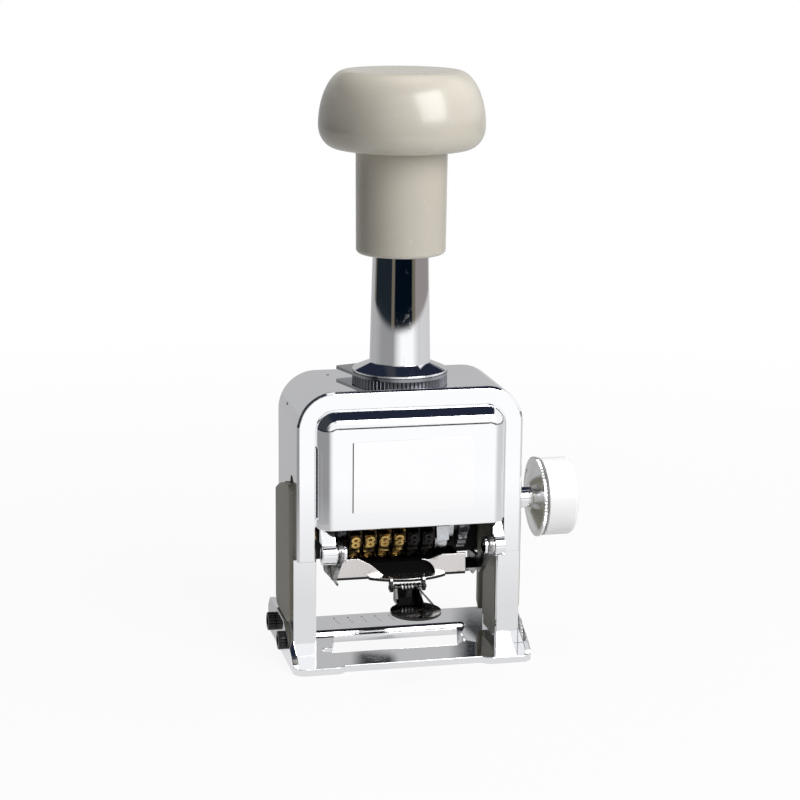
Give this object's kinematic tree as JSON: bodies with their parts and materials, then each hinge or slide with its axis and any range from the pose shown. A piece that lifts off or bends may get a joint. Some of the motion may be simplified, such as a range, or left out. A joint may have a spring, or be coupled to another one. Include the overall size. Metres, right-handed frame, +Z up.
{
  "type": "numbering machine",
  "caption": "Self-inking numbering machine: sprung knob, arch housing on a base plate, type wheels, swinging ink pad and side knob.",
  "frame": {"origin": "on the plunger's axis, on the table, at the foot of the print window", "axes": "+Z up along the plunger, +X to the machine's right where the side knob is, +Y to the back"},
  "size_m": [0.0812, 0.053, 0.1537],
  "materials": {
    "chrome": "bright plating",
    "bare_plate": "fine brushed, bare",
    "black_screw": "black oxide",
    "taupe_plastic": "moulded, low sheen",
    "dark_steel": "turned steel",
    "spring_steel": "drawn wire",
    "brass": "turned brass",
    "beige_plastic": "glossy moulded",
    "white_plastic": "glossy moulded",
    "steel": "stamped and ground",
    "type_metal": "blackened body with brass figures",
    "nickel": "satin nickel",
    "mirror_steel": "dark mirror",
    "ink_foam": "ink-soaked felt"
  },
  "bodies": {
    "frame": {"base_plate": "chrome", "base_screws": "black_screw", "left_leg": "chrome", "right_leg": "chrome", "arch_housing": "chrome", "front_cover": "chrome", "label_plate": "bare_plate", "rear_cover": "chrome", "rear_cover_screws": "chrome", "left_guide": "taupe_plastic", "right_guide": "taupe_plastic", "guide_neck": "chrome", "click_ring": "dark_steel", "rod_bush": "brass", "return_spring": "spring_steel", "pad_pivots": "chrome", "dial_bush": "chrome"},
    "plunger": {"knob_head": "beige_plastic", "knob_sleeve": "beige_plastic", "knob_insert": "brass", "plunger_rod": "steel", "rod_nut": "steel", "left_cheek": "steel", "right_cheek": "steel", "bridge": "steel", "guide_shoes": "steel", "wheel_shaft": "steel", "shaft_clips": "dark_steel", "detent_comb": "spring_steel", "comb_screws": "steel"},
    "wheel_body_1": {"wheel_1": "type_metal"},
    "wheel_body_2": {"wheel_2": "type_metal"},
    "wheel_body_3": {"wheel_3": "type_metal"},
    "wheel_body_4": {"wheel_4": "type_metal"},
    "wheel_body_5": {"wheel_5": "type_metal"},
    "wheel_body_6": {"wheel_6": "type_metal"},
    "repeat": {"repeat_ratchet": "steel"},
    "feed": {"feed_cheeks": "steel", "pawl_rod": "steel", "feed_pawl": "steel", "pawl_spring": "spring_steel"},
    "pad_holder": {"pad_arms": "nickel", "pad_tray": "nickel", "ink_pad": "ink_foam", "tab_pin": "chrome"},
    "tab": {"finger_tab": "mirror_steel", "tab_spring": "spring_steel"},
    "selector": {"selector_plate": "chrome"},
    "dial": {"side_knob": "white_plastic", "toothed_disc": "dark_steel", "dial_stud": "chrome", "lock_cam": "dark_steel"}
  },
  "joints": [
    {"name": "press", "type": "slide", "parent": "frame", "child": "plunger", "axis": [0, 0, -1], "range_m": [0, 0.0258], "stiffness_N_per_m": 600, "springref_m": -0.012, "deforming": ["return_spring"]},
    {"name": "turn_wheel_1", "type": "hinge", "parent": "plunger", "child": "wheel_body_1", "pos_m": [-0.0136, -0.0035, 0.0351], "axis": [1, 0, 0], "continuous": true},
    {"name": "turn_wheel_2", "type": "hinge", "parent": "plunger", "child": "wheel_body_2", "pos_m": [-0.0097, -0.0035, 0.0351], "axis": [1, 0, 0], "continuous": true},
    {"name": "turn_wheel_3", "type": "hinge", "parent": "plunger", "child": "wheel_body_3", "pos_m": [-0.0058, -0.0035, 0.0351], "axis": [1, 0, 0], "continuous": true},
    {"name": "turn_wheel_4", "type": "hinge", "parent": "plunger", "child": "wheel_body_4", "pos_m": [-0.0019, -0.0035, 0.0351], "axis": [1, 0, 0], "continuous": true},
    {"name": "turn_wheel_5", "type": "hinge", "parent": "plunger", "child": "wheel_body_5", "pos_m": [0.002, -0.0035, 0.0351], "axis": [1, 0, 0], "continuous": true},
    {"name": "turn_wheel_6", "type": "hinge", "parent": "plunger", "child": "wheel_body_6", "pos_m": [0.0059, -0.0035, 0.0351], "axis": [1, 0, 0], "continuous": true},
    {"name": "turn_repeat", "type": "hinge", "parent": "plunger", "child": "repeat", "pos_m": [0.0093, -0.0035, 0.0351], "axis": [1, 0, 0], "continuous": true},
    {"name": "swing_feed", "type": "hinge", "parent": "plunger", "child": "feed", "pos_m": [0, -0.0035, 0.0351], "axis": [-1, 0, 0], "range_deg": [0, 41]},
    {"name": "swing_pad", "type": "hinge", "parent": "frame", "child": "pad_holder", "pos_m": [0, -0.0176, 0.0313], "axis": [-1, 0, 0], "range_deg": [0, 107]},
    {"name": "lift_tab", "type": "hinge", "parent": "pad_holder", "child": "tab", "pos_m": [0, -0.0151, 0.0204], "axis": [-1, 0, 0], "range_deg": [0, 25], "stiffness_Nm_per_rad": 0.004, "springref_deg": -34.38},
    {"name": "set_repeat", "type": "hinge", "parent": "frame", "child": "selector", "pos_m": [0, 0, 0.0748], "axis": [0, 0, 1], "range_deg": [0, 60]},
    {"name": "turn_dial", "type": "hinge", "parent": "frame", "child": "dial", "pos_m": [0.0377, 0, 0.0389], "axis": [1, 0, 0], "continuous": true}
  ],
  "couplings": [
    {"joint": "swing_pad", "follows": "press", "rad_per_m": 72},
    {"joint": "swing_feed", "follows": "press", "rad_per_m": 27.7}
  ]
}
